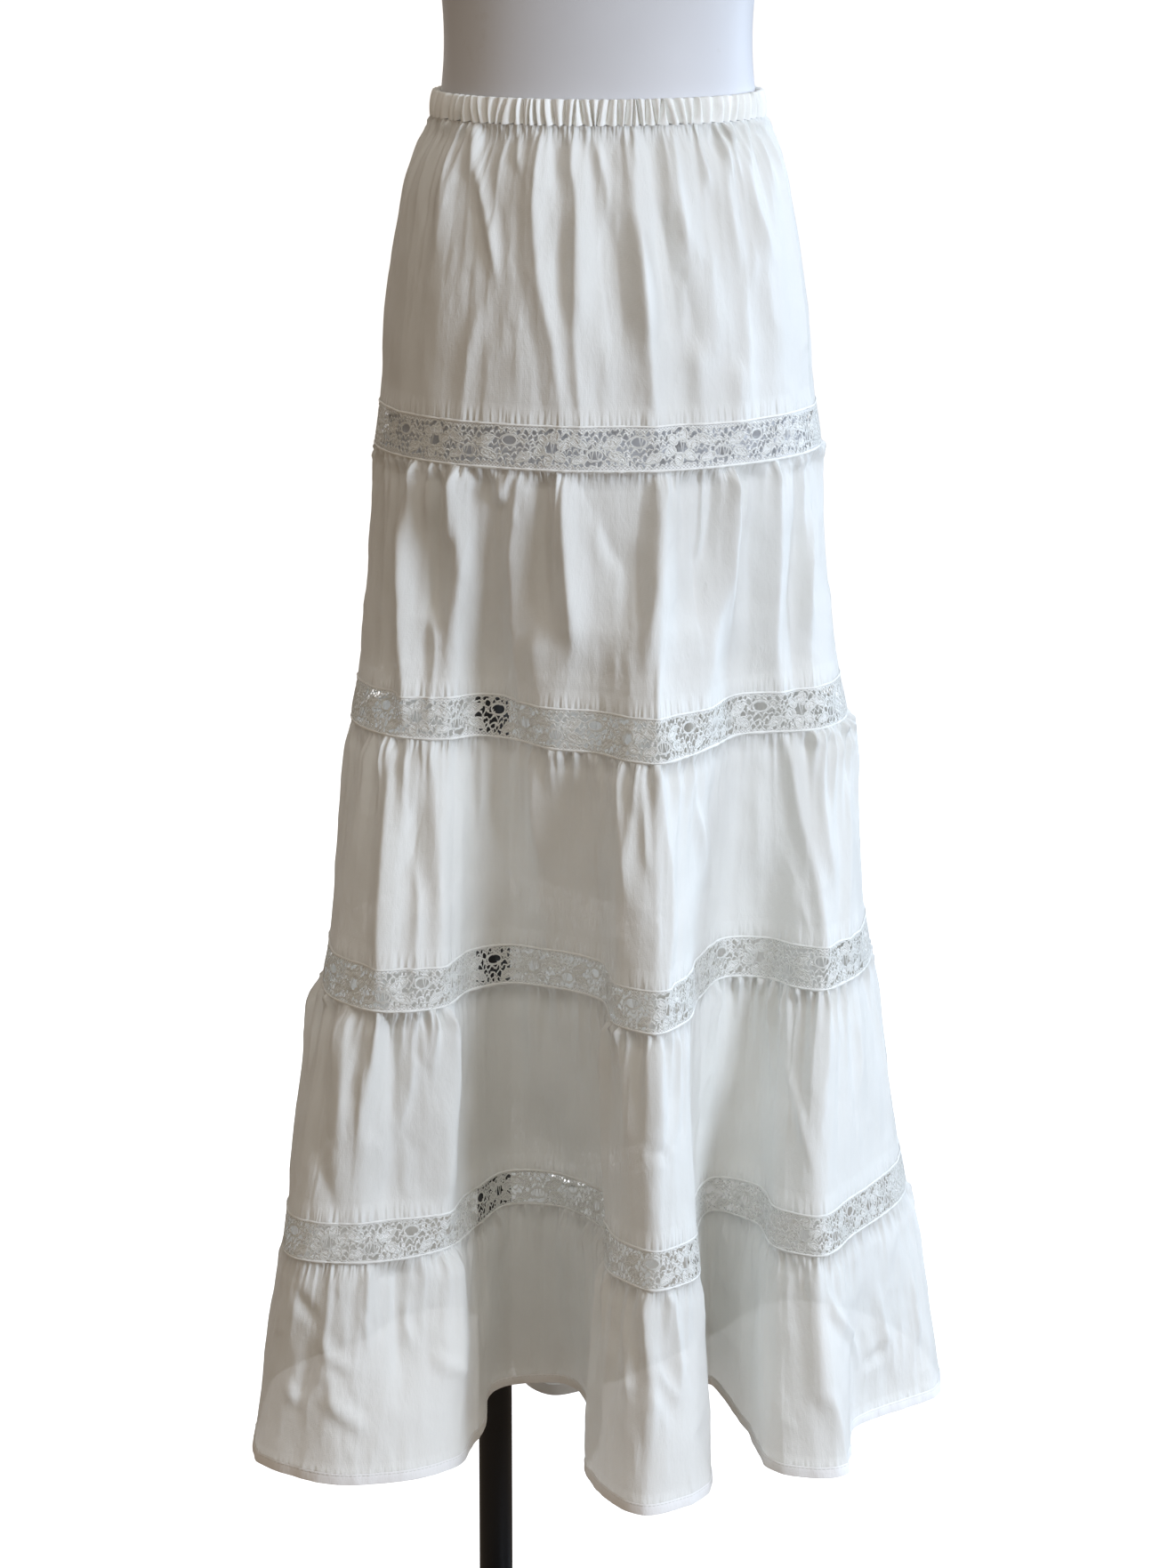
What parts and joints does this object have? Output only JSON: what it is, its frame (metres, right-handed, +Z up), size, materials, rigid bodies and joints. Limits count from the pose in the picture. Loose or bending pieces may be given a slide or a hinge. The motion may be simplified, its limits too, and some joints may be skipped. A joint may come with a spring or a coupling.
{
  "type": "tiered a-line skirt on limbless dress form with stand",
  "caption": "Long A-line skirt of gathered tiers joined by lace bands, with an elastic waistband, hanging in deep folds on a smooth limbless dress form with pole and disc base",
  "frame": {"origin": "centre of the underside of the disc base, on the floor, below the middle of the waist", "axes": "+Z up along the body, -Y towards the front of the skirt, +X towards the right of the picture (the wearer's left)"},
  "size_m": [0.5354, 0.5449, 1.7443],
  "materials": {
    "cotton": "fine white woven cotton with a soft sheen and small crinkles",
    "lace": "white net lace with raised flowers and scrolls",
    "form": "smooth pale grey-white moulded shell",
    "metal": "satin black paint on steel"
  },
  "bodies": {
    "root": {"waistband": "cotton", "tier_1_front": "cotton", "tier_1_back": "cotton", "lace_1_front": "lace", "lace_1_back": "lace", "tier_2_front": "cotton", "tier_2_back": "cotton", "lace_2_front": "lace", "lace_2_back": "lace", "tier_3_front": "cotton", "tier_3_back": "cotton", "lace_3_front": "lace", "lace_3_back": "lace", "tier_4_front": "cotton", "tier_4_back": "cotton", "lace_4_front": "lace", "lace_4_back": "lace", "tier_5_front": "cotton", "tier_5_back": "cotton", "dress_form": "form", "neck_plate": "form", "pole_socket": "metal", "pole": "metal", "foot_collar": "metal", "base_disc": "metal"}
  },
  "joints": []
}
